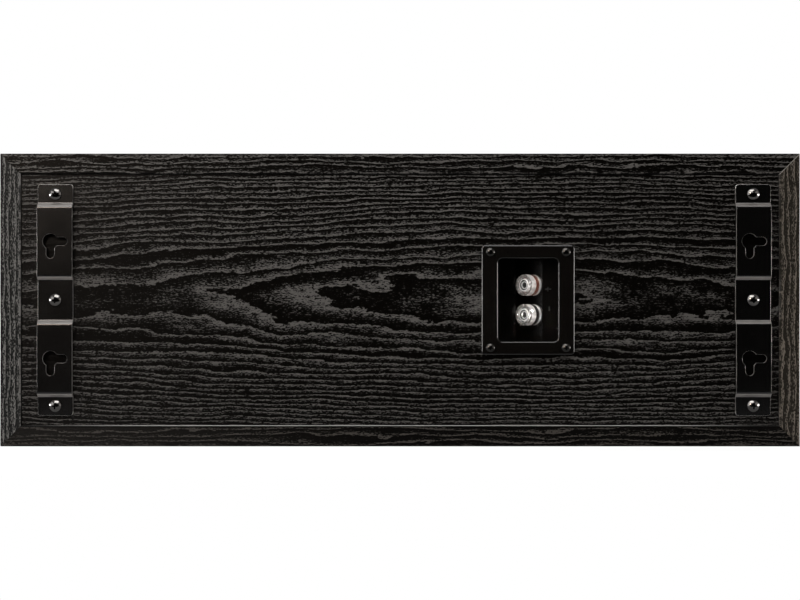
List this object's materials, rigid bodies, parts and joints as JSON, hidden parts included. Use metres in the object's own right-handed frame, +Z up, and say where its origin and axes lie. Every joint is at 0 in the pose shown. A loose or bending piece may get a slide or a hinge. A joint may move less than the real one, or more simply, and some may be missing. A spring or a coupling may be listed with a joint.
{
  "type": "center channel speaker",
  "caption": "Wide black wood-grain center channel speaker with woofers either side of a dome tweeter, keyhole hanging brackets and slanted binding posts in a rear cup.",
  "frame": {"origin": "middle of the cabinet's underside", "axes": "+X to the right seen from the listening side, +Y to the rear where the brackets and posts are, +Z up"},
  "size_m": [0.508, 0.1562, 0.186],
  "materials": {
    "black_ash_vinyl": "black wood-grain vinyl over fibreboard",
    "satin_black_lacquer": "satin black over fibreboard",
    "black_powder_coat": "satin black",
    "black_zinc": "black zinc",
    "moulded_black": "satin moulded black",
    "foam": "closed-cell foam",
    "wadding": "polyester wadding",
    "nickel": "bright nickel",
    "clear_sleeve": "clear polycarbonate",
    "red_plastic": "gloss red",
    "tinned_brass": "tinned",
    "black_rubber": "matt black",
    "coated_paper": "coated black pulp",
    "spider_cloth": "treated cotton",
    "silk": "coated silk",
    "copper_winding": "enamelled copper",
    "zinc_steel": "zinc plated",
    "ferrite": "bare ferrite",
    "circuit_board": "brown fibre board",
    "nylon": "natural nylon",
    "capacitor_film": "wrapped film",
    "resistor_ceramic": "cement block",
    "lead_insulation": "soft insulation"
  },
  "bodies": {
    "cabinet": {"back_panel": "black_ash_vinyl", "black_post_stud": "nickel", "bottom_panel": "black_ash_vinyl", "bracket_screws": "black_zinc", "crossover_board": "circuit_board", "crossover_supports": "nylon", "damping_pads": "wadding", "film_capacitors": "capacitor_film", "front_baffle": "satin_black_lacquer", "grille_sockets": "black_rubber", "high_pass_coil": "copper_winding", "input_leads": "lead_insulation", "left_hanging_bracket": "black_powder_coat", "left_side_panel": "black_ash_vinyl", "left_woofer_basket": "black_powder_coat", "left_woofer_magnet": "ferrite", "left_woofer_spider": "spider_cloth", "left_woofer_surround": "black_rubber", "left_woofer_top_plate": "zinc_steel", "left_woofer_yoke": "zinc_steel", "low_pass_coil": "copper_winding", "post_lock_nuts": "nickel", "power_resistor": "resistor_ceramic", "red_post_stud": "nickel", "right_hanging_bracket": "black_powder_coat", "right_side_panel": "black_ash_vinyl", "right_woofer_basket": "black_powder_coat", "right_woofer_magnet": "ferrite", "right_woofer_spider": "spider_cloth", "right_woofer_surround": "black_rubber", "right_woofer_top_plate": "zinc_steel", "right_woofer_yoke": "zinc_steel", "solder_tags": "tinned_brass", "terminal_cup": "moulded_black", "terminal_gasket": "foam", "terminal_screws": "black_zinc", "top_panel": "black_ash_vinyl", "tweeter_dome": "silk", "tweeter_faceplate": "moulded_black", "tweeter_leads": "lead_insulation", "tweeter_magnet": "ferrite", "tweeter_screws": "black_zinc", "tweeter_top_plate": "zinc_steel", "tweeter_voice_coil": "copper_winding", "tweeter_yoke": "zinc_steel", "woofer_leads": "lead_insulation", "woofer_screws": "black_zinc"},
    "black_nut": {"black_nut_insert": "nickel", "black_nut_sleeve": "clear_sleeve"},
    "black_ring": {"black_post_ring": "moulded_black"},
    "left_cone_assembly": {"left_woofer_cone": "coated_paper", "left_woofer_dust_cap": "coated_paper", "left_woofer_voice_coil": "copper_winding"},
    "red_nut": {"red_nut_insert": "nickel", "red_nut_sleeve": "clear_sleeve"},
    "red_ring": {"red_post_ring": "red_plastic"},
    "right_cone_assembly": {"right_woofer_cone": "coated_paper", "right_woofer_dust_cap": "coated_paper", "right_woofer_voice_coil": "copper_winding"}
  },
  "joints": [
    {"name": "red_nut_travel", "type": "slide", "parent": "cabinet", "child": "red_ring", "axis": [0.7071, 0.7071, 0], "range_m": [0, 0.005]},
    {"name": "red_nut_turn", "type": "hinge", "parent": "red_ring", "child": "red_nut", "pos_m": [-0.0858, 0.0638, 0.1025], "axis": [0.7071, 0.7071, 0], "range_deg": [0, 1800]},
    {"name": "black_nut_travel", "type": "slide", "parent": "cabinet", "child": "black_ring", "axis": [0.7071, 0.7071, 0], "range_m": [0, 0.005]},
    {"name": "black_nut_turn", "type": "hinge", "parent": "black_ring", "child": "black_nut", "pos_m": [-0.0858, 0.0638, 0.0835], "axis": [0.7071, 0.7071, 0], "range_deg": [0, 1800]},
    {"name": "left_cone_stroke", "type": "slide", "parent": "cabinet", "child": "left_cone_assembly", "axis": [0, -1, 0], "range_m": [-0.004, 0.004], "stiffness_N_per_m": 1000, "deforming": ["left_woofer_surround", "left_woofer_spider"]},
    {"name": "right_cone_stroke", "type": "slide", "parent": "cabinet", "child": "right_cone_assembly", "axis": [0, -1, 0], "range_m": [-0.004, 0.004], "stiffness_N_per_m": 1000, "deforming": ["right_woofer_surround", "right_woofer_spider"]}
  ],
  "couplings": [
    {"joint": "red_nut_turn", "follows": "red_nut_travel", "rad_per_m": 6283.2},
    {"joint": "black_nut_turn", "follows": "black_nut_travel", "rad_per_m": 6283.2}
  ]
}
